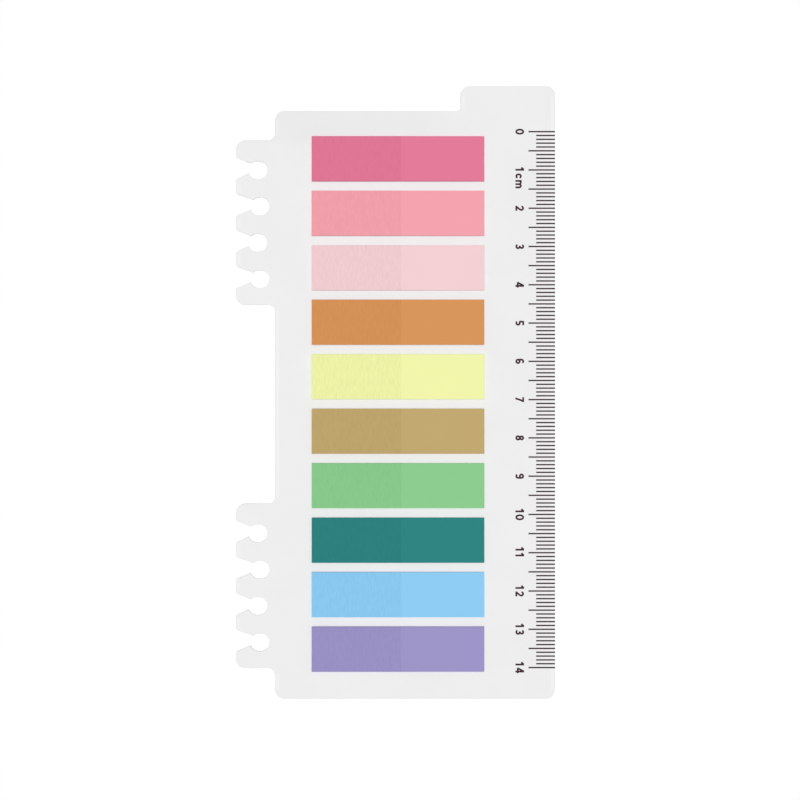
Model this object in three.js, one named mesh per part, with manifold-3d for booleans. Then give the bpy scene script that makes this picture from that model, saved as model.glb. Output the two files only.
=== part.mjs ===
// Ten pads of film index flags on a frosted plastic board that clips into a loose-leaf binder.
// Millimetres, +Z up. The board lies flat, its underside at z = 0, the middle of its outline
// over the origin. +Y runs towards the index tab and +X towards the ruled edge.

import * as THREE from 'three';
import { mergeVertices } from 'three/addons/utils/BufferGeometryUtils.js';
import Module from 'manifold-3d';

// Board
const bodyWidth = 73.2;
const bodyHeight = 153.7;
const boardThickness = 0.8;
const cornerRadius = 2.5;

// Index tab that stands up at the top right
const tabWidth = 24.7;
const tabHeight = 6.5;
const tabRootFillet = 1.2;

// Combs of ring notches on the left edge
const combDepth = 10.2;
const combEndRadius = 2.5;
const combRootFillet = 1.8;
const ringPitch = 9.5;
const notchesPerComb = 4;
const combCount = 2;
const firstNotchDrop = 15.45;
const combHeadMargin = 7.8;
const combTailMargin = 6.75;
const lowestCombClearance = 7.9;

// Ring notches: a hole for the ring and a funnel that lets the ring snap in from the tip
const ringHoleWidth = 4.6;
const ringHoleLength = 5;
const shallowNotchDepth = 8.2;
const deepNotchDepth = 8.75;
const mouthWidth = 5.7;
const neckWidth = 2.5;
const mouthRise = 0.45;
const toothTipRadius = 1;

// Scale along the right edge: a mark at each millimetre, longer at each fifth
const scaleStep = 1;
const stepsPerLongMark = 5;
const stepsPerNumber = 10;
const scaleTopDrop = 5.47;
const scaleTailMargin = 8.2;
const markWidth = 0.34;
const shortMarkLength = 4.95;
const longMarkLength = 6.95;
const markRelief = 0.05;
const markRoot = 0.2;

// Pads of film flags
const padWidth = 45;
const padHeight = 11.75;
const padInset = 9.67;
const firstPadDrop = 6.76;
const lastPadMargin = 7.26;
const flagsPerPad = 20;
const filmThickness = 0.045;
const glueThickness = 0.015;
const gluedWidth = 23.3;

const cornerArcSteps = 8;
const holeArcSteps = 16;

// Places that follow from the sizes
const tipX = -(bodyWidth + combDepth) / 2;
const bodyLeft = tipX + combDepth;
const bodyRight = bodyLeft + bodyWidth;
const bodyBottom = -(bodyHeight + tabHeight) / 2;
const bodyTop = bodyBottom + bodyHeight;
const tabLeft = bodyRight - tabWidth;
const tabTop = bodyTop + tabHeight;

// The combs stand a whole number of ring pitches apart, as many as the board has room for
const combSpan = (notchesPerComb - 1) * ringPitch;
const combRoom = bodyHeight - firstNotchDrop - combSpan - combTailMargin - lowestCombClearance;
const pitchesFromCombToComb = Math.floor(combRoom / (combCount - 1) / ringPitch);

// The scale runs to the last numbered mark that the board has room for
const scaleRoom = bodyHeight - scaleTopDrop - scaleTailMargin;
const scaleSteps = Math.floor(scaleRoom / scaleStep / stepsPerNumber) * stepsPerNumber;

const padColours = {
  pad_rose: 0xe27397,
  pad_salmon: 0xf0a1ac,
  pad_pale_pink: 0xf0ccd0,
  pad_orange: 0xd6945a,
  pad_yellow: 0xf0f4aa,
  pad_tan: 0xc0a76f,
  pad_green: 0x8aca8d,
  pad_teal: 0x2e8380,
  pad_sky_blue: 0x8dc9f1,
  pad_violet: 0x9c93c7,
};

const wasm = await Module();
wasm.setup();

function solidFrom(geometry) {
  const bare = geometry.index ? geometry.toNonIndexed() : geometry.clone();
  bare.deleteAttribute('normal');
  bare.deleteAttribute('uv');
  const merged = mergeVertices(bare, 1e-5);
  return new wasm.Manifold(new wasm.Mesh({
    numProp: 3,
    vertProperties: merged.attributes.position.array,
    triVerts: Uint32Array.from(merged.index.array),
  }));
}

function geometryFrom(solid) {
  const mesh = solid.getMesh();
  const geometry = new THREE.BufferGeometry();
  geometry.setAttribute('position', new THREE.BufferAttribute(mesh.vertProperties, 3));
  geometry.setIndex(new THREE.BufferAttribute(mesh.triVerts, 1));
  geometry.computeVertexNormals();
  return geometry;
}

function plate(shape, thickness, arcSteps = 1) {
  return new THREE.ExtrudeGeometry(shape, {
    depth: thickness,
    bevelEnabled: false,
    curveSegments: arcSteps,
  });
}

// A closed outline through corners [x, y, radius], run anticlockwise, each corner an arc of
// its own radius that touches both sides.
function roundedOutline(corners) {
  const shape = new THREE.Shape();
  corners.forEach(([x, y, radius = 0], i) => {
    const [beforeX, beforeY] = corners.at(i - 1);
    const [afterX, afterY] = corners[(i + 1) % corners.length];
    const corner = new THREE.Vector2(x, y);
    const back = new THREE.Vector2(beforeX - x, beforeY - y).normalize();
    const ahead = new THREE.Vector2(afterX - x, afterY - y).normalize();
    if (radius === 0) {
      if (i === 0) {
        shape.moveTo(x, y);
      } else {
        shape.lineTo(x, y);
      }
      return;
    }
    const halfAngle = Math.acos(THREE.MathUtils.clamp(back.dot(ahead), -1, 1)) / 2;
    const middle = back.clone().add(ahead).normalize();
    const centre = corner.clone().addScaledVector(middle, radius / Math.sin(halfAngle));
    const start = corner.clone().addScaledVector(back, radius / Math.tan(halfAngle));
    const end = corner.clone().addScaledVector(ahead, radius / Math.tan(halfAngle));
    const turnsRight = back.cross(ahead) > 0;
    if (i === 0) {
      shape.moveTo(start.x, start.y);
    }
    shape.absarc(
      centre.x,
      centre.y,
      radius,
      start.sub(centre).angle(),
      end.sub(centre).angle(),
      turnsRight,
    );
  });
  shape.closePath();
  return shape;
}

// Each notch: the height of its hole's middle, and where the hole's outer and inner arcs centre
function notchesOf(comb) {
  const notches = [];
  for (let i = 0; i < notchesPerComb; i += 1) {
    const depth = i % 2 === 0 ? shallowNotchDepth : deepNotchDepth;
    const innerX = tipX + depth - ringHoleWidth / 2;
    notches.push({
      y: bodyTop - firstNotchDrop - (comb * pitchesFromCombToComb + i) * ringPitch,
      innerX,
      outerX: innerX - (ringHoleLength - ringHoleWidth),
    });
  }
  return notches;
}

function combTop(comb) {
  return notchesOf(comb).at(0).y + combHeadMargin;
}

function combBottom(comb) {
  return notchesOf(comb).at(-1).y - combTailMargin;
}

// The point where a funnel's side, at height rise above the hole's middle, meets the hole's edge
function lip(notch, rise) {
  const reach = Math.sqrt((ringHoleWidth / 2) ** 2 - rise ** 2);
  return [notch.outerX - reach, notch.y + rise];
}

function funnelCorners(notch) {
  return [
    [tipX, notch.y + mouthRise + mouthWidth / 2, toothTipRadius],
    lip(notch, mouthRise + neckWidth / 2),
    [notch.outerX, notch.y],
    lip(notch, mouthRise - neckWidth / 2),
    [tipX, notch.y + mouthRise - mouthWidth / 2, toothTipRadius],
  ];
}

function combCorners(comb) {
  return [
    [bodyLeft, combTop(comb), combRootFillet],
    [tipX, combTop(comb), combEndRadius],
    ...notchesOf(comb).flatMap(funnelCorners),
    [tipX, combBottom(comb), combEndRadius],
    [bodyLeft, combBottom(comb), combRootFillet],
  ];
}

function boardOutline() {
  const corners = [
    [bodyLeft, bodyBottom, cornerRadius],
    [bodyRight, bodyBottom, cornerRadius],
    [bodyRight, tabTop, cornerRadius],
    [tabLeft, tabTop, cornerRadius],
    [tabLeft, bodyTop, tabRootFillet],
    [bodyLeft, bodyTop, cornerRadius],
  ];
  for (let comb = 0; comb < combCount; comb += 1) {
    corners.push(...combCorners(comb));
  }
  return roundedOutline(corners);
}

function ringHole(notch) {
  const radius = ringHoleWidth / 2;
  const shape = new THREE.Shape();
  shape.absarc(notch.innerX, notch.y, radius, -Math.PI / 2, Math.PI / 2, false);
  shape.absarc(notch.outerX, notch.y, radius, Math.PI / 2, Math.PI * 1.5, false);
  shape.closePath();
  return plate(shape, boardThickness * 3, holeArcSteps).translate(0, 0, -boardThickness);
}

// One printed mark, a ridge that stands on the board and reaches its ruled edge
function scaleMark(step) {
  const length = step % stepsPerLongMark === 0 ? longMarkLength : shortMarkLength;
  const geometry = new THREE.BoxGeometry(length, markWidth, markRoot + markRelief);
  geometry.translate(
    bodyRight - length / 2,
    bodyTop - scaleTopDrop - step * scaleStep,
    boardThickness + (markRelief - markRoot) / 2,
  );
  return geometry;
}

function makeBoard() {
  let solid = solidFrom(plate(boardOutline(), boardThickness, cornerArcSteps));
  for (let comb = 0; comb < combCount; comb += 1) {
    for (const notch of notchesOf(comb)) {
      solid = solid.subtract(solidFrom(ringHole(notch)));
    }
  }
  for (let step = 0; step <= scaleSteps; step += 1) {
    solid = solid.add(solidFrom(scaleMark(step)));
  }
  return geometryFrom(solid);
}

// The side view of a pad. The left part of every flag is glued to the one below, so there the
// pad is solid. The right part is loose, one thin leaf above the other with air between them.
function padSection() {
  const flagPitch = filmThickness + glueThickness;
  const height = flagsPerPad * flagPitch;
  const shape = new THREE.Shape();
  shape.moveTo(0, 0);
  shape.lineTo(gluedWidth, 0);
  for (let flag = 0; flag < flagsPerPad; flag += 1) {
    const under = flag * flagPitch + glueThickness;
    shape.lineTo(gluedWidth, under);
    shape.lineTo(padWidth, under);
    shape.lineTo(padWidth, under + filmThickness);
    if (flag < flagsPerPad - 1) {
      shape.lineTo(gluedWidth, under + filmThickness);
    }
  }
  shape.lineTo(0, height);
  shape.closePath();
  return shape;
}

function makePad() {
  return plate(padSection(), padHeight).rotateX(Math.PI / 2);
}

const padPitch = (bodyHeight - firstPadDrop - lastPadMargin - padHeight)
  / (Object.keys(padColours).length - 1);

const part = new THREE.Group();

const board = new THREE.Mesh(
  makeBoard(),
  new THREE.MeshStandardMaterial({ color: 0xeeeeee, roughness: 0.55, metalness: 0 }),
);
board.name = 'board';
part.add(board);

Object.entries(padColours).forEach(([name, colour], i) => {
  const pad = new THREE.Mesh(
    makePad(),
    new THREE.MeshStandardMaterial({ color: colour, roughness: 0.45, metalness: 0 }),
  );
  pad.name = name;
  pad.position.set(bodyLeft + padInset, bodyTop - firstPadDrop - i * padPitch, boardThickness);
  part.add(pad);
});

export default part;
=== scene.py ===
# %% [markdown]
# # Film index flags on a frosted binder ruler
# A thin sheet of milky plastic clips into a loose-leaf binder. It carries ten pads of coloured
# film flags and a printed centimetre scale. Everything here is in metres, +Z up, and the sheet
# lies flat on the floor. The solids that come with the frame already have the true sizes, so
# each piece below takes its size and place from them.

# %% Load the frame
import math
import random

import bmesh
import bpy
from bmesh.types import BMEdge, BMFace, BMVert
from mathutils import Matrix, Vector
from mathutils.bvhtree import BVHTree


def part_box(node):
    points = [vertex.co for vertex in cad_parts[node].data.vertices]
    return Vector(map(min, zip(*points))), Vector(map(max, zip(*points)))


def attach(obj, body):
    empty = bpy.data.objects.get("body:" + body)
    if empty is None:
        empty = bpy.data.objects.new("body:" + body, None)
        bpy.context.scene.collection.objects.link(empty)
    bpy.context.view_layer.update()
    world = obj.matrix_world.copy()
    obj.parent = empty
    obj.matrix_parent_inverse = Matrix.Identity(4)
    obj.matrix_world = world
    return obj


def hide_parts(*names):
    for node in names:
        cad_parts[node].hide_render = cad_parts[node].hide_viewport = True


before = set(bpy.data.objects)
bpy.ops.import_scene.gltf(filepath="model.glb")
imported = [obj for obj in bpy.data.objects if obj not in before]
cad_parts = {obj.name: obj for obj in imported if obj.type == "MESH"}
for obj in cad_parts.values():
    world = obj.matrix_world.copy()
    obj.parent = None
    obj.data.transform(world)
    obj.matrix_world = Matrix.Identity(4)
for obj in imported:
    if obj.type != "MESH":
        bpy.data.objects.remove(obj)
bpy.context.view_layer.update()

MM = 0.001
print("solids:", sorted(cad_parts))

# %% [markdown]
# ## Camera
# The photograph looks straight down from about half a metre. The camera hangs a little to the
# right of the sheet's middle and a little below it, because the sheet sits left of the
# picture's middle and above it. A longer lens keeps the thick pads from leaning outwards.

# %% Camera
BOARD_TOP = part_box("pad_rose")[0].z
FIELD_WIDTH = 209.0 * MM
CAMERA_X = 1.19 * MM
CAMERA_Y = -1.97 * MM
LENS = 85
SENSOR = 36
NEAREST_SEEN = 10 * MM

camera_data = bpy.data.cameras.new("camera")
camera_data.lens = LENS
camera_data.sensor_width = SENSOR
camera_data.clip_start = NEAREST_SEEN
camera = bpy.data.objects.new("camera", camera_data)
camera.location = (CAMERA_X, CAMERA_Y, BOARD_TOP + FIELD_WIDTH * LENS / SENSOR)
bpy.context.scene.collection.objects.link(camera)
bpy.context.scene.camera = camera
print("camera height in mm:", round(camera.location.z / MM, 1))

# %% [markdown]
# ## Helpers for meshes
# A piece starts as a bmesh, the small mesh that Blender's modelling operators work on. It ends
# as an object at the origin whose place is in its vertices. The operators return vertices,
# edges and faces in one mixed list, so one helper picks out a kind.

# %% Mesh helpers
SAME_CORNER = 0.0005 * MM


def merged_copy(node):
    """A bmesh of a solid from the frame, with its loose triangles joined at their corners."""
    bm = bmesh.new()
    bm.from_mesh(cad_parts[node].data)
    bmesh.ops.remove_doubles(bm, verts=bm.verts, dist=SAME_CORNER)
    return bm


def only(kind, geometry):
    """The vertices, edges or faces among what an operator returned."""
    return [item for item in geometry if isinstance(item, kind)]


def keep_faces(bm, wanted):
    """Deletes every face for which wanted(face) is false."""
    bm.normal_update()
    unwanted = [face for face in bm.faces if not wanted(face)]
    bmesh.ops.delete(bm, geom=unwanted, context="FACES")


def make_object(name, bm):
    """Turns a bmesh into an object at the origin."""
    mesh = bpy.data.meshes.new(name)
    bm.to_mesh(mesh)
    bm.free()
    made = bpy.data.objects.new(name, mesh)
    bpy.context.scene.collection.objects.link(made)
    return made


def finish_piece(name, bm, material):
    """Turns a bmesh into a piece that has a finish and rides on the object's one body."""
    bm.normal_update()
    piece = make_object(name, bm)
    piece.data.materials.append(material)
    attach(piece, "root")
    print(name, "has", len(piece.data.polygons), "faces")
    return piece


# %% [markdown]
# ## Helpers for materials
# Every finish is a Principled shader with a few nodes in front of it. Node groups could hold
# the patterns, but a few small functions that add a node and feed its inputs keep each finish
# readable in one place. An input is fed with a fixed value or with another node's output.

# %% Material helpers
def new_finish(name, roughness, specular):
    """A material with a bare Principled shader."""
    material = bpy.data.materials.new(name)
    material.use_nodes = True
    shader = material.node_tree.nodes["Principled BSDF"]
    shader.inputs["Roughness"].default_value = roughness
    shader.inputs["Specular IOR Level"].default_value = specular
    return material, shader


def feed(material, socket, value):
    """Gives an input a fixed value or another node's output."""
    if isinstance(value, bpy.types.NodeSocket):
        material.node_tree.links.new(value, socket)
    else:
        socket.default_value = value


def add_node(material, kind, **settings):
    """A new node, with its properties set and its inputs fed by name."""
    node = material.node_tree.nodes.new(kind)
    for key, value in settings.items():
        if hasattr(node, key):
            setattr(node, key, value)
        else:
            feed(material, node.inputs[key.replace("_", " ")], value)
    return node


def calculate(material, operation, first, second=0, clamp=False):
    """A Math node. Each operand is a number or another node's output."""
    node = add_node(material, "ShaderNodeMath", operation=operation, use_clamp=clamp)
    for socket, operand in zip(node.inputs, (first, second)):
        feed(material, socket, operand)
    return node.outputs["Value"]


def added(material, terms):
    """The sum of several numbers or outputs."""
    total = terms[0]
    for term in terms[1:]:
        total = calculate(material, "ADD", total, term)
    return total


def object_position(material):
    return add_node(material, "ShaderNodeTexCoord").outputs["Object"]


def noise(material, cells_per_metre, detail, roughness=0.5, position=None):
    """Cloudy noise around 0, from -0.5 to 0.5."""
    if position is None:
        position = object_position(material)
    clouds = add_node(
        material,
        "ShaderNodeTexNoise",
        Vector=position,
        Scale=cells_per_metre,
        Detail=detail,
        Roughness=roughness,
    )
    return calculate(material, "SUBTRACT", clouds.outputs["Fac"], 0.5)


def bump(material, shader, height, depth, strength=1.0):
    """Feeds a height pattern to the shader. A height of 1 stands depth metres above 0."""
    relief = add_node(
        material, "ShaderNodeBump", Strength=strength, Distance=depth, Height=height
    )
    feed(material, shader.inputs["Normal"], relief.outputs["Normal"])


def shade(material, colour, factor):
    """A colour made lighter or darker by a factor from another node."""
    node = add_node(material, "ShaderNodeVectorMath", operation="SCALE", Scale=factor)
    feed(material, node.inputs[0], colour)
    return node.outputs["Vector"]


# %% [markdown]
# ## Frosted plastic
# The sheet is milky polypropylene with a fine frosted skin. Over white it reads as a light
# neutral grey, a little cloudy. A painted shade makes it a touch darker in the left part of its
# top margin, and a painted dark line runs right along the cut edge. Just inside the edges that
# face left and right, where they run straight, lies a painted highlight: a soft light line where
# the rounded rim catches light. That line could be left to the lamps, but it is narrower than a
# soft lamp can draw. So the mesh carries it: each vertex knows how far it is from the cut edge
# and how much that edge faces sideways, and the shader turns the two into painted light and shade.

# %% Frosted plastic
EDGE_DISTANCE = "edge_distance"
EDGE_SIDEWAYS = "edge_sideways"
FROSTED_GREY = (0.85, 0.85, 0.852)
CLOUDS_PER_METRE = 70
CLOUDING = 0.06
FROST_PER_METRE = 4500
FROST_DEPTH = 0.01 * MM

# Widths and places of lines are in millimetres from the cut edge.
# Painted shade: a thin dark line right along the cut edge.
PAINTED_RIM_WIDTH = 0.3
PAINTED_RIM_SHADE = -0.02
# Painted highlight: a soft light line just inside the straight edges that face sideways.
PAINTED_HIGHLIGHT_PLACE = 0.75
PAINTED_HIGHLIGHT_WIDTH = 0.5
PAINTED_HIGHLIGHT_TONE = 0.055

# Painted shade: the left part of the top margin, above the first pad, is a touch darker.
TOP_MARGIN_PAINTED_SHADE = -0.03
TOP_MARGIN_FADE = 3 * MM
TOP_MARGIN_REACH = 3 * MM
TOP_MARGIN_END_FADE = 12 * MM


def line_at(material, distance, place, width, tone):
    """A tone that is full at a distance and fades out over a width to both sides."""
    away = calculate(material, "ABSOLUTE", calculate(material, "SUBTRACT", distance, place))
    share = calculate(material, "DIVIDE", away, width)
    nearness = calculate(material, "SUBTRACT", 1, share, clamp=True)
    return calculate(material, "MULTIPLY", nearness, tone)


def fade(material, place, start, end):
    """0 at the start and 1 at the end, with a soft change between them."""
    node = add_node(
        material,
        "ShaderNodeMapRange",
        interpolation_type="SMOOTHSTEP",
        Value=place,
        From_Min=start,
        From_Max=end,
    )
    return node.outputs["Result"]


def stored_value(material, name):
    return add_node(material, "ShaderNodeAttribute", attribute_name=name).outputs["Fac"]


def top_margin(material):
    """Where the painted shade lies: 1 in the left part of the strip above the first pad, 0
    elsewhere.
    """
    low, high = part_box("pad_rose")
    right_end = (low.x + high.x) / 2 + TOP_MARGIN_REACH
    place = add_node(material, "ShaderNodeSeparateXYZ", Vector=object_position(material))
    above = fade(material, place.outputs["Y"], high.y - TOP_MARGIN_FADE, high.y)
    left = fade(material, place.outputs["X"], right_end + TOP_MARGIN_END_FADE, right_end)
    return calculate(material, "MULTIPLY", above, left)


frosted, frosted_shader = new_finish("frosted_plastic", roughness=0.42, specular=0.35)
clouds = noise(frosted, CLOUDS_PER_METRE, detail=4)
distance = stored_value(frosted, EDGE_DISTANCE)
# Painted light on the sheet: the edge highlight, the rim shade and the margin shade, added to its
# random clouding.
painted_highlight = line_at(frosted, distance, PAINTED_HIGHLIGHT_PLACE, PAINTED_HIGHLIGHT_WIDTH, PAINTED_HIGHLIGHT_TONE)
clouding_and_painted_light = added(frosted, [
    1,
    calculate(frosted, "MULTIPLY", clouds, CLOUDING),
    line_at(frosted, distance, 0, PAINTED_RIM_WIDTH, PAINTED_RIM_SHADE),
    calculate(frosted, "MULTIPLY", painted_highlight, stored_value(frosted, EDGE_SIDEWAYS)),
    calculate(frosted, "MULTIPLY", top_margin(frosted), TOP_MARGIN_PAINTED_SHADE),
])
feed(frosted, frosted_shader.inputs["Base Color"], shade(frosted, FROSTED_GREY, clouding_and_painted_light))
frost = noise(frosted, FROST_PER_METRE, detail=2)
bump(frosted, frosted_shader, frost, FROST_DEPTH, strength=0.5)
print("frosted plastic ready")

# %% [markdown]
# ## The board
# The real board is stamped from sheet: one flat outline with an index tab, two combs of ring
# notches and a recess between them. The outline could be drawn again with lines and arcs, but
# the solid in the frame already holds it. So its underside becomes one flat face, that face is
# extruded to the sheet's thickness, and a narrow bevel softens the stamped edge. The flat faces
# stay flat shaded and the narrow ones at the edge are shaded smooth, so that the sheet keeps a
# clean reflection and its edge still looks round.

# %% Board
EDGE_BEVEL = 0.07 * MM
SMALLEST_BEND = math.radians(0.05)
LEVEL = 0.99


def merge_flat(bm):
    """Joins faces that lie in one plane and edges that lie in one line."""
    bmesh.ops.dissolve_limit(bm, angle_limit=SMALLEST_BEND, verts=bm.verts[:], edges=bm.edges[:])


def stamped_sheet():
    """The board without any rounding: its outline, extruded to the sheet's thickness."""
    bm = merged_copy("board")
    keep_faces(bm, lambda face: face.normal.z < -LEVEL)
    bmesh.ops.dissolve_faces(bm, faces=bm.faces[:])
    merge_flat(bm)
    raised = bmesh.ops.extrude_face_region(bm, geom=bm.faces[:])
    bmesh.ops.translate(bm, verts=only(BMVert, raised["geom"]), vec=(0, 0, BOARD_TOP))
    bmesh.ops.recalc_face_normals(bm, faces=bm.faces)
    bm.normal_update()
    return bm


def flat_faces(bm):
    return [face for face in bm.faces if abs(face.normal.z) > LEVEL]


def round_the_edge(bm):
    rims = list({edge for face in flat_faces(bm) for edge in face.edges})
    bmesh.ops.bevel(
        bm,
        geom=rims,
        offset=EDGE_BEVEL,
        offset_type="OFFSET",
        segments=2,
        profile=0.5,
        affect="EDGES",
        material=-1,
        clamp_overlap=True,
    )
    bm.normal_update()
    for face in bm.faces:
        face.smooth = abs(face.normal.z) < LEVEL


sheet = stamped_sheet()
cut_edge = sheet.copy()
bmesh.ops.delete(cut_edge, geom=flat_faces(cut_edge), context="FACES_ONLY")
round_the_edge(sheet)
print("corners in the outline:", len(cut_edge.verts) // 2)

# %% [markdown]
# The two large faces have vertices only along their rims. A square grid of cuts gives them
# vertices all over. Each vertex then stores how far the cut edge is and how much it faces
# left or right, which places the painted dark rim and the painted highlight. A wall shorter
# than two millimetres counts for less, the shorter it is, so the tips of the teeth get the
# painted highlight and the small walls of holes and round corners get a faint one at most.

# %% Distance to the edge
CELL = 1 * MM
LONG_WALL = 2 * MM


def cut_at(bm, faces, axis, place):
    """Cuts faces by the plane at a place on one axis, and returns all the faces it leaves."""
    normal = Vector((0, 0, 0))
    normal[axis] = 1
    edges = {edge for face in faces for edge in face.edges}
    verts = {vert for edge in edges for vert in edge.verts}
    cut = bmesh.ops.bisect_plane(
        bm, geom=[*verts, *edges, *faces], plane_co=normal * place, plane_no=normal
    )
    return only(BMFace, cut["geom"])


def cut_along(bm, faces, axis, start, end):
    """Cuts faces by parallel planes one cell apart, and returns all the faces they leave."""
    finished = []
    for step in range(1, math.ceil((end - start) / CELL)):
        place = start + step * CELL
        pieces = cut_at(bm, faces, axis, place)
        faces = [face for face in pieces if face.calc_center_median()[axis] > place]
        finished += [face for face in pieces if face.calc_center_median()[axis] <= place]
    return finished + faces


low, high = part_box("board")
strips = cut_along(sheet, flat_faces(sheet), 0, low.x, high.x)
cells = cut_along(sheet, strips, 1, low.y, high.y)
cut_edge.faces.ensure_lookup_table()
wall_tree = BVHTree.FromBMesh(cut_edge)
# These two stored values only place the painted rim shade and the painted edge highlight.
distance_layer = sheet.verts.layers.float.new(EDGE_DISTANCE)
sideways_layer = sheet.verts.layers.float.new(EDGE_SIDEWAYS)
for vert in sheet.verts:
    half_way_up = Vector((vert.co.x, vert.co.y, BOARD_TOP / 2))
    _, facing, wall, gap = wall_tree.find_nearest(half_way_up)
    wall_length = cut_edge.faces[wall].calc_perimeter() / 2 - BOARD_TOP
    vert[distance_layer] = gap / MM
    vert[sideways_layer] = facing.x ** 2 * min(1, wall_length / LONG_WALL)
cut_edge.free()
print("cells:", len(cells))

board_sheet = finish_piece("board_sheet", sheet, frosted)
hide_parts("board")

# %% [markdown]
# ## Printing ink
# The scale is screen printed in one dark, slightly reddish ink. Printed ink isn't quite even,
# so a fine noise varies its tone.

# %% Ink
INK_COLOUR = (0.03, 0.009, 0.014)
INK_GRAIN_PER_METRE = 3000
INK_UNEVENNESS = 0.5

ink, ink_shader = new_finish("scale_ink", roughness=0.5, specular=0.3)
ink_grain = noise(ink, INK_GRAIN_PER_METRE, detail=2)
ink_shade = added(ink, [calculate(ink, "MULTIPLY", ink_grain, INK_UNEVENNESS), 1])
feed(ink, ink_shader.inputs["Base Color"], shade(ink, INK_COLOUR, ink_shade))
print("ink ready")

# %% [markdown]
# ## The marks of the scale
# There is a mark at every millimetre and a longer one at every fifth. The frame's board has
# them as low ridges, so the top faces of those ridges give each mark's exact rectangle. They
# are lowered until they stand one ink layer above the sheet, and get sides that reach just
# into it, so that no gap shows under the ink. Wet ink spreads a hair before it dries, so each
# mark is printed a little wider than its ridge.

# %% Scale marks
INK_HEIGHT = 0.02 * MM
INK_ROOT = 0.01 * MM
INK_SPREAD = 0.015 * MM


def ink_layer(bm):
    """Gives flat faces the height of printed ink, from just inside the sheet upwards."""
    for vert in bm.verts:
        vert.co.z = BOARD_TOP + INK_HEIGHT
    skirt = bmesh.ops.extrude_face_region(bm, geom=bm.faces[:])
    lowered = only(BMVert, skirt["geom"])
    bmesh.ops.translate(bm, verts=lowered, vec=(0, 0, -INK_HEIGHT - INK_ROOT))
    bmesh.ops.recalc_face_normals(bm, faces=bm.faces)


def is_ridge_top(face):
    return face.normal.z > LEVEL and face.calc_center_median().z > BOARD_TOP + INK_HEIGHT


def spread_ink(bm):
    """Makes each flat mark wider on both sides."""
    for mark in bm.faces:
        middle = mark.calc_center_median()
        for vert in mark.verts:
            vert.co.y += math.copysign(INK_SPREAD, vert.co.y - middle.y)


marks = merged_copy("board")
keep_faces(marks, is_ridge_top)
merge_flat(marks)
mark_rows = sorted(
    ((mark.calc_center_median().y, min(vert.co.x for vert in mark.verts)) for mark in marks.faces),
    reverse=True,
)
spread_ink(marks)
ink_layer(marks)
finish_piece("scale_marks", marks, ink)
print("marks:", len(mark_rows))

# %% [markdown]
# ## The numerals
# Each centimetre has its number, in narrow, even strokes with their tops towards the ruled
# edge. A typeface could be used, but the strokes of these plain numerals are simple enough to
# draw as a broad pen would: a short edge, the nib, is pushed forward for a straight stroke and
# spun about a point for a curved one. Sizes are in shares of a numeral's height.

# %% Pen strokes
STROKE = 0.21
NIB_STEPS_PER_TURN = 32
FEWEST_NIB_STEPS = 2


def pushed_nib(bm, nib, way):
    """The nib after a straight push, which leaves one face behind it."""
    result = bmesh.ops.extrude_edge_only(bm, edges=[nib])
    nib = only(BMEdge, result["geom"])[0]
    bmesh.ops.translate(bm, verts=nib.verts[:], vec=way)
    return nib


def spun_nib(bm, nib, centre, degrees):
    """The nib after a turn about a centre, which leaves a fan of faces behind it."""
    steps = round(abs(degrees) / 360 * NIB_STEPS_PER_TURN)
    result = bmesh.ops.spin(
        bm,
        geom=[nib, *nib.verts],
        cent=centre,
        axis=(0, 0, 1),
        angle=math.radians(degrees),
        steps=max(FEWEST_NIB_STEPS, steps),
        use_merge=False,
    )
    return only(BMEdge, result["geom_last"])[0]


def draw_stroke(bm, start, heading, moves):
    """Draws one ribbon. The heading is in degrees, anticlockwise from the reading direction.
    A move is a length to go forward, or a pair (radius, angle): a turn to the left if the
    angle is positive and to the right if it is negative."""
    angle = math.radians(heading)
    across = Vector((-math.sin(angle), math.cos(angle), 0)) * STROKE / 2
    middle = Vector((*start, 0))
    nib = bm.edges.new([bm.verts.new(middle + across), bm.verts.new(middle - across)])
    for move in moves:
        forward = Vector((math.cos(angle), math.sin(angle), 0))
        if isinstance(move, tuple):
            radius, degrees = move
            turn = math.radians(degrees)
            side = Vector((-forward.y, forward.x, 0)) * math.copysign(radius, turn)
            centre = middle + side
            nib = spun_nib(bm, nib, centre, degrees)
            middle = centre - Matrix.Rotation(turn, 3, "Z") @ side
            angle += turn
        else:
            nib = pushed_nib(bm, nib, forward * move)
            middle += forward * move


print("steps of a full turn:", NIB_STEPS_PER_TURN)

# %% [markdown]
# A character is a list of strokes, and a stroke is its start, its first heading and its moves.
# The numerals share a few measures, such as the radius of a bowl, so that they look like one
# set. A nought is an oval of four arcs: two long ones at the sides and two tight ones at the
# ends. There is no 9 here, because it is a 6 turned round.

# %% Strokes of each character
DIGIT_WIDTH = 0.6
LETTER_HEIGHT = 0.725
LEFT = STROKE / 2
RIGHT = DIGIT_WIDTH - LEFT
MIDDLE = DIGIT_WIDTH / 2
FOOT = STROKE / 2
HEAD = 1 - FOOT
BOWL = (RIGHT - LEFT) / 2
SMALL_BOWL = 0.175
LOW_BOWL = FOOT + BOWL
HIGH_BOWL = HEAD - SMALL_BOWL
LETTER_SIDE = LETTER_HEIGHT - STROKE - 2 * BOWL

OVAL_BOWL = 0.235
OVAL_END = 0.19
OVAL_RISE = 0.5 - FOOT - OVAL_END
OVAL_SIDE = (OVAL_BOWL ** 2 + OVAL_RISE ** 2 - OVAL_END ** 2) / (2 * (OVAL_BOWL - OVAL_END))
OVAL_TILT = math.degrees(math.atan2(OVAL_RISE, OVAL_SIDE - OVAL_BOWL))
OVAL_END_TURN = (OVAL_END, 2 * OVAL_TILT - 180)

# An arch of the m starts a hair beside its stem, because outlines that coincide don't weld.
ARCH = 0.18
ARCH_SHIFT = 0.012
ARCH_FOOT = LETTER_HEIGHT - FOOT - ARCH

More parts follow.
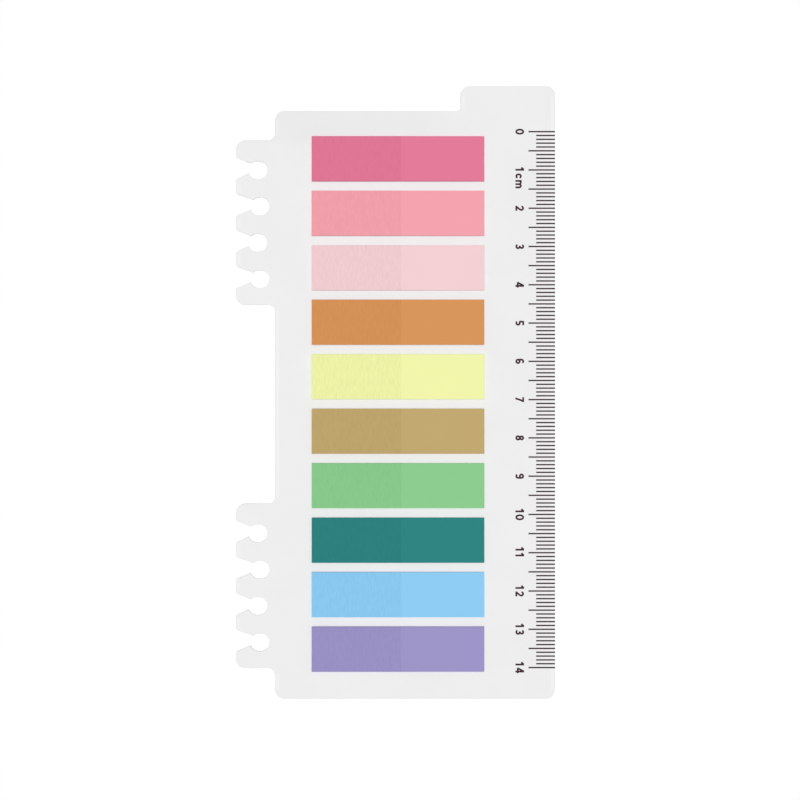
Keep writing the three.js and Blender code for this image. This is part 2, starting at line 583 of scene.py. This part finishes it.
STROKES = {
    "0": [
        (
            (MIDDLE - OVAL_BOWL, 0.5),
            90,
            [
                (OVAL_SIDE, -OVAL_TILT),
                OVAL_END_TURN,
                (OVAL_SIDE, -2 * OVAL_TILT),
                OVAL_END_TURN,
                (OVAL_SIDE, -OVAL_TILT),
            ],
        )
    ],
    "1": [((0.28, 0), 90, [1]), ((0.25, 0.93), 226, [0.34])],
    "2": [((LEFT, 0.69), 90, [(BOWL, -180), (0.3, -38), 0.53]), ((0.02, FOOT), 0, [0.57])],
    "3": [
        ((0.131, 0.775), 75, [(SMALL_BOWL, -255)]),
        ((0.21, LOW_BOWL + BOWL), 0, [0.09, (BOWL, -252)]),
    ],
    "4": [((0.43, 0), 90, [1]), ((0.4, 0.95), 242.8, [0.77]), ((0, 0.27), 0, [0.62])],
    "5": [
        ((0.12, HEAD), 0, [0.44]),
        ((0.16, 0.98), 265, [0.52]),
        ((0.143, 0.432), 50, [(BOWL, -285)]),
    ],
    "6": [
        ((LEFT, LOW_BOWL), 90, [HEAD - BOWL - LOW_BOWL, (BOWL, -150)]),
        ((LEFT, LOW_BOWL), 90, [(BOWL, -360)]),
    ],
    "7": [((0.02, HEAD), 0, [0.56]), ((0.5, HEAD), 238, [(1.8, 14), 0.53])],
    "8": [
        ((MIDDLE - SMALL_BOWL, HIGH_BOWL), 90, [(SMALL_BOWL, -360)]),
        ((LEFT, LOW_BOWL), 90, [(BOWL, -360)]),
    ],
    "c": [((0.498, 0.478), 105, [(BOWL, 165), LETTER_SIDE, (BOWL, 165)])],
    "m": [
        ((LEFT, 0), 90, [LETTER_HEIGHT]),
        ((LEFT + ARCH_SHIFT, ARCH_FOOT), 90, [(ARCH, -180), ARCH_FOOT]),
        ((LEFT + 2 * ARCH + 2 * ARCH_SHIFT, ARCH_FOOT), 90, [(ARCH, -180), ARCH_FOOT]),
    ],
}
print("characters with strokes:", " ".join(sorted(STROKES)))

# %% [markdown]
# The ribbons of one character overlap where strokes cross. Each ribbon becomes a thin solid,
# and the boolean modifier welds them into one clean solid per character. Corners that end up
# in the same place are merged, so that no face without area is left. Before that, a stroke
# that runs all the way round is closed, where its last nib meets its first.

# %% Characters
NUMERAL_HEIGHT = 2.27 * MM
CLOSED_STROKE = 1e-5
CLOSEST_CORNERS = 0.0001 * MM


def stroke_object(stroke):
    """One stroke as a closed slab, as thick as the ink and its root."""
    bm = bmesh.new()
    draw_stroke(bm, *stroke)
    bmesh.ops.remove_doubles(bm, verts=bm.verts, dist=CLOSED_STROKE)
    bmesh.ops.scale(bm, verts=bm.verts, vec=(NUMERAL_HEIGHT, NUMERAL_HEIGHT, 1))
    ink_layer(bm)
    return make_object("stroke", bm)


def character_mesh(character):
    """A character's strokes, welded. It stands on the reading line and starts at the origin."""
    pieces = [stroke_object(stroke) for stroke in STROKES[character]]
    first = pieces[0]
    for other in pieces[1:]:
        weld = first.modifiers.new("weld", "BOOLEAN")
        weld.operation = "UNION"
        weld.solver = "EXACT"
        weld.object = other
    evaluated = first.evaluated_get(bpy.context.evaluated_depsgraph_get())
    mesh = bpy.data.meshes.new_from_object(evaluated)
    for piece in pieces:
        bpy.data.objects.remove(piece)
    bm = bmesh.new()
    bm.from_mesh(mesh)
    bmesh.ops.remove_doubles(bm, verts=bm.verts, dist=CLOSEST_CORNERS)
    bm.to_mesh(mesh)
    bm.free()
    return mesh


characters = {name: character_mesh(name) for name in STROKES}
nine = characters["6"].copy()
far_corner = Matrix.Translation((DIGIT_WIDTH * NUMERAL_HEIGHT, NUMERAL_HEIGHT, 0))
nine.transform(far_corner @ Matrix.Rotation(math.pi, 4, "Z"))
characters["9"] = nine
print("faces per character:", {name: len(mesh.polygons) for name, mesh in characters.items()})

# %% [markdown]
# The numbers stand in a column beside the long marks, each centred on its own mark. The unit
# follows the 1. A quarter turn to the right brings the tops of the characters to the edge.

# %% Numerals
MARKS_PER_NUMBER = 10
NUMERAL_GAP = 1.14 * MM
DIGIT_ADVANCE = 0.66
UNIT_STARTS = {"c": 0.7, "m": 1.46}


def label_characters(number):
    """Each character of a number with its distance along the reading line."""
    text = str(number)
    start = -(DIGIT_ADVANCE * (len(text) - 1) + DIGIT_WIDTH) / 2
    placed = [(digit, start + i * DIGIT_ADVANCE) for i, digit in enumerate(text)]
    if number == 1:
        placed += [(letter, start + offset) for letter, offset in UNIT_STARTS.items()]
    return placed


numerals = bmesh.new()
long_mark_end = min(x for _, x in mark_rows)
baseline = long_mark_end - NUMERAL_GAP - NUMERAL_HEIGHT
for number, (mark_y, _) in enumerate(mark_rows[::MARKS_PER_NUMBER]):
    line = Matrix.Translation((baseline, mark_y, 0)) @ Matrix.Rotation(-math.pi / 2, 4, "Z")
    for name, along in label_characters(number):
        character = characters[name].copy()
        character.transform(line @ Matrix.Translation((along * NUMERAL_HEIGHT, 0, 0)))
        numerals.from_mesh(character)
finish_piece("scale_numerals", numerals, ink)

# %% [markdown]
# ## Dyed film
# A flag is clear film, dyed on one side. Its left part carries the glue. There the flag below
# is wetted by the glue and the colour looks a shade deeper, with fine upright streaks where
# the glue lies in ripples. The right part is loose and even. The cut edges show the film's
# clear body, so they are duller and greyer than its dyed face, and the grey also stands in as
# painted shade between the leaves.
# Each pad has its own colour, so one function makes the finish from the colour and the place of
# the glue's edge. The ripples are a noise, squeezed until its cells are tall and narrow, and a
# slower noise pushes them sideways so that they wander a little.

# %% Glue ripples and cut edges
STREAK_STRETCH = (1, 0.15, 1)
STREAKS_PER_METRE = 3600
WANDERS_PER_METRE = 330
WANDER = 0.6 * MM
LEAST_FLAT = 0.5


def wandering_position(material):
    """Object coordinates, pushed from side to side by a slow noise."""
    push = calculate(material, "MULTIPLY", noise(material, WANDERS_PER_METRE, detail=1), WANDER)
    sideways = add_node(material, "ShaderNodeCombineXYZ", X=push)
    pushed = add_node(material, "ShaderNodeVectorMath", operation="ADD")
    feed(material, pushed.inputs[0], object_position(material))
    feed(material, pushed.inputs[1], sideways.outputs["Vector"])
    return pushed.outputs["Vector"]


def glue_ripples(material):
    """Tall narrow streaks, from -0.5 to 0.5."""
    squeezed = add_node(
        material,
        "ShaderNodeMapping",
        Vector=wandering_position(material),
        Scale=STREAK_STRETCH,
    )
    place = squeezed.outputs["Vector"]
    return noise(material, STREAKS_PER_METRE, detail=1, roughness=0.4, position=place)


def cut_faces(material):
    """1 on the film's upright cut edges, 0 on its flat faces."""
    place = add_node(material, "ShaderNodeTexCoord")
    facing = add_node(material, "ShaderNodeSeparateXYZ", Vector=place.outputs["Normal"])
    upward = calculate(material, "ABSOLUTE", facing.outputs["Z"])
    return calculate(material, "LESS_THAN", upward, LEAST_FLAT)


print("glue ripples ready")

# %% [markdown]
# A deeper dye isn't just darker: the channels that it absorbs fall the most, which is what
# raising a colour to a power above 1 does. The colours are written as a screen shows them, so
# one helper turns them into the linear values that shaders work with.

# %% Film finish
GLUED_SHADE = 0.962
GLUED_DEEPENING = 0.03
STREAK_DEPTH = 0.16
STREAK_RELIEF = 0.004 * MM
GLUE_EDGE_WIDTH = 0.35 * MM
GLUE_EDGE_DEPTH = 0.02
HAZE = 0.02
HAZE_PER_METRE = 120
# The cut edges' grey is partly the film's clear body and partly painted shade between the leaves.
CUT_EDGE_GREY_AND_SHADE = (0.42, 0.42, 0.43, 1)
CUT_EDGE_DULLNESS_AND_SHADE = 0.4


def linear(hex_colour):
    """The linear colour that a screen colour such as 0xe17897 stands for."""
    channels = [(hex_colour >> shift & 255) / 255 for shift in (16, 8, 0)]
    return [c / 12.92 if c <= 0.04045 else ((c + 0.055) / 1.055) ** 2.4 for c in channels]


def glued_tone(material, beyond, ripples):
    """What the glue adds to the film's tone: all over, in streaks and just before its edge."""
    nearness = calculate(material, "DIVIDE", beyond, GLUE_EDGE_WIDTH)
    edge = calculate(material, "ADD", nearness, 1, clamp=True)
    return added(material, [
        calculate(material, "MULTIPLY", edge, -GLUE_EDGE_DEPTH),
        calculate(material, "MULTIPLY", ripples, STREAK_DEPTH),
        GLUED_SHADE - 1,
    ])


def film_finish(name, hex_colour, glue_edge):
    material, shader = new_finish(name, roughness=0.4, specular=0.25)
    place = add_node(material, "ShaderNodeSeparateXYZ", Vector=object_position(material))
    beyond = calculate(material, "SUBTRACT", place.outputs["X"], glue_edge)
    glued = calculate(material, "LESS_THAN", beyond, 0)
    ripples = glue_ripples(material)
    film_shade = added(material, [
        calculate(material, "MULTIPLY", glued_tone(material, beyond, ripples), glued),
        calculate(material, "MULTIPLY", noise(material, HAZE_PER_METRE, detail=3), HAZE),
        1,
    ])
    deepening = calculate(material, "MULTIPLY", glued, GLUED_DEEPENING)
    dye = add_node(
        material,
        "ShaderNodeGamma",
        Color=shade(material, linear(hex_colour), film_shade),
        Gamma=calculate(material, "ADD", deepening, 1),
    )
    film = add_node(
        material,
        "ShaderNodeMix",
        data_type="RGBA",
        Factor=calculate(material, "MULTIPLY", cut_faces(material), CUT_EDGE_DULLNESS_AND_SHADE),
        A=dye.outputs["Color"],
        B=CUT_EDGE_GREY_AND_SHADE,
    )
    feed(material, shader.inputs["Base Color"], film.outputs["Result"])
    bump(material, shader, calculate(material, "MULTIPLY", ripples, glued), STREAK_RELIEF)
    return material


print("film finish ready")

# %% [markdown]
# ## The pads
# Each pad is a stack of twenty flags. A leaf starts as one flat face of the pad's size, is cut
# across at the glue's edge and where it will bend, and gets the film's thickness. Its glued
# part reaches down by one layer of glue. Its loose part has air under it, so it sags a little
# into that air, a bit more for the upper leaves, which have more air below them. There are two
# hundred leaves, so a leaf has only the cuts that its bend needs. Small seeded offsets keep the
# leaves from lying perfectly flush, as on a real stack that was cut with a knife.

# %% Leaves
FILM_SHARE = 0.75
LARGEST_SHIFT = 0.03 * MM
SHIFT_SEED = 7
SAG_SHARE = 0.5
SAG_LENGTH = 6 * MM
SAG_STEPS = 4
CUT_TOLERANCE = 0.001 * MM
shifts = random.Random(SHIFT_SEED)


def leaf_surface(bm, low, high, top, glue_edge):
    """The flat upper side of a flag, with cuts from the glue's edge to the end of the bend."""
    shift_x = shifts.uniform(-1, 1) * LARGEST_SHIFT
    shift_y = shifts.uniform(-1, 1) * LARGEST_SHIFT
    half_width = (high.x - low.x) / 2 - LARGEST_SHIFT
    half_height = (high.y - low.y) / 2 - LARGEST_SHIFT
    middle = (low + high) / 2
    place = Matrix.Translation((middle.x + shift_x, middle.y + shift_y, top))
    size = Matrix.Diagonal((half_width, half_height, 1, 1))
    flat = bmesh.ops.create_grid(bm, x_segments=1, y_segments=1, size=1, matrix=place @ size)
    surface = list({face for vert in flat["verts"] for face in vert.link_faces})
    for step in range(SAG_STEPS + 1):
        surface = cut_at(bm, surface, 0, glue_edge + SAG_LENGTH * step / SAG_STEPS)
    return surface


def sag(beyond):
    """The share of the full sag at a distance from the glue's edge, with a soft start and end."""
    share = max(0.0, min(1.0, beyond / SAG_LENGTH))
    return share * share * (3 - 2 * share)


def add_leaf(bm, low, high, glue_edge, index, flag_pitch):
    """One flag of the stack, index 0 lowest."""
    film = flag_pitch * FILM_SHARE
    glue = flag_pitch - film
    top = low.z + (index + 1) * flag_pitch
    surface = leaf_surface(bm, low, high, top, glue_edge)
    under = bmesh.ops.extrude_face_region(bm, geom=surface)
    lower = only(BMVert, under["geom"])
    for vert in lower:
        vert.co.z -= film
        if vert.co.x < glue_edge + CUT_TOLERANCE:
            vert.co.z -= glue
    air = (index + 1) * glue
    for vert in {vert for face in surface for vert in face.verts} | set(lower):
        vert.co.z -= air * SAG_SHARE * sag(vert.co.x - glue_edge)


print("leaf thickness, as a share of the pitch:", FILM_SHARE)

# %% [markdown]
# The pads differ only in colour and place. The place of the glue's edge isn't written again: it
# is read from the pad's own solid, whose loose leaves start there.

# %% Pads
FLAGS_PER_PAD = 20
END_MARGIN = 1 * MM
PAD_FILMS = {
    "pad_rose": 0xe17897,
    "pad_salmon": 0xf3a2ad,
    "pad_pale_pink": 0xf3cfd3,
    "pad_orange": 0xd59358,
    "pad_yellow": 0xf1f5aa,
    "pad_tan": 0xbfa66e,
    "pad_green": 0x8aca8d,
    "pad_teal": 0x267f7c,
    "pad_sky_blue": 0x8dcbf2,
    "pad_violet": 0x9b93c6,
}


def glue_edge_of(node):
    """The x of a pad's rightmost corners that aren't at its end: its loose leaves start there."""
    low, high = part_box(node)
    places = [vert.co.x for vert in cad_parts[node].data.vertices]
    return max(x for x in places if low.x + END_MARGIN < x < high.x - END_MARGIN)


def make_pad(node, hex_colour):
    low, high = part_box(node)
    glue_edge = glue_edge_of(node)
    flag_pitch = (high.z - low.z) / FLAGS_PER_PAD
    bm = bmesh.new()
    for index in range(FLAGS_PER_PAD):
        add_leaf(bm, low, high, glue_edge, index, flag_pitch)
    bmesh.ops.recalc_face_normals(bm, faces=bm.faces)
    colour_name = node.removeprefix("pad_")
    finish = film_finish(colour_name + "_film", hex_colour, glue_edge)
    pad = finish_piece(colour_name + "_flags", bm, finish)
    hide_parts(node)
    return pad


pads = [make_pad(node, hex_colour) for node, hex_colour in PAD_FILMS.items()]
print("pads:", len(pads))

# %% [markdown]
# ## Floor
# The photograph's ground is plain white. The floor is a diffuse disc that is fully white to
# the camera and in reflections, and a little darker to other light, so that it keeps the
# board's soft shadow and doesn't throw too much light back up. A larger floor would turn grey
# far out, where the lamp's light thins. The disc ends before that, and its rim doesn't show
# against the white sky.

# %% Floor
FLOOR_RADIUS = 0.4
FLOOR_CORNERS = 96
FLOOR_DROP = 0.02 * MM
FLOOR_SEEN = (1, 1, 1, 1)
FLOOR_LIT = (0.8, 0.8, 0.8, 1)


def seen_directly(material):
    """1 for rays from the camera, from a reflection or through a clear surface, else 0."""
    path = add_node(material, "ShaderNodeLightPath")
    seen = path.outputs["Is Camera Ray"]
    for kind in ("Is Glossy Ray", "Is Transmission Ray"):
        seen = calculate(material, "MAXIMUM", seen, path.outputs[kind])
    return seen


floor_finish, floor_shader = new_finish("floor_white", roughness=0.9, specular=0.0)
floor_tone = add_node(
    floor_finish,
    "ShaderNodeMix",
    data_type="RGBA",
    Factor=seen_directly(floor_finish),
    A=FLOOR_LIT,
    B=FLOOR_SEEN,
)
feed(floor_finish, floor_shader.inputs["Base Color"], floor_tone.outputs["Result"])

floor_bm = bmesh.new()
bmesh.ops.create_circle(
    floor_bm,
    cap_ends=True,
    segments=FLOOR_CORNERS,
    radius=FLOOR_RADIUS,
    matrix=Matrix.Translation((0, 0, -FLOOR_DROP)),
)
floor = make_object("floor", floor_bm)
floor.data.materials.append(floor_finish)
print("floor ready")

# %% [markdown]
# ## Light
# Soft studio light: one wide lamp straight overhead does most of the work, and a faint even
# sky fills the sides. Light from overhead reaches into the narrow gaps between the pads, as it
# does in the photograph. The lamp is hidden from reflections, as with a polarising filter, so
# that it lays no veil over the dark films. Together they light a flat face so that a colour
# comes out about as it is written: a small lamp h metres above a white face makes it just
# white with (pi h) squared watts, and a sky does so at a strength of 1, so the two levels are
# shares of that. To the camera and in reflections the sky is plain white, like the ground.

# %% Light
SKY_LIGHT = 0.22
SKY_SEEN = 1.0
LAMP_LIGHT = 0.82
LAMP_HEIGHT = 3.0
LAMP_SIZE = 1.1

world = bpy.data.worlds.new("studio")
bpy.context.scene.world = world
world.use_nodes = True
sky = world.node_tree.nodes["Background"]
sky.inputs["Color"].default_value = (1, 1, 1, 1)
sky_level = add_node(
    world,
    "ShaderNodeMapRange",
    Value=seen_directly(world),
    To_Min=SKY_LIGHT,
    To_Max=SKY_SEEN,
)
feed(world, sky.inputs["Strength"], sky_level.outputs["Result"])

lamp_data = bpy.data.lights.new("soft_lamp", "AREA")
lamp_data.energy = LAMP_LIGHT * (math.pi * LAMP_HEIGHT) ** 2
lamp_data.size = LAMP_SIZE
lamp = bpy.data.objects.new("soft_lamp", lamp_data)
lamp.location = (CAMERA_X, CAMERA_Y, LAMP_HEIGHT)
lamp.visible_glossy = False
lamp.visible_camera = False
bpy.context.scene.collection.objects.link(lamp)

bpy.context.scene.view_settings.view_transform = "Standard"
print("lamp power:", round(lamp_data.energy, 1))
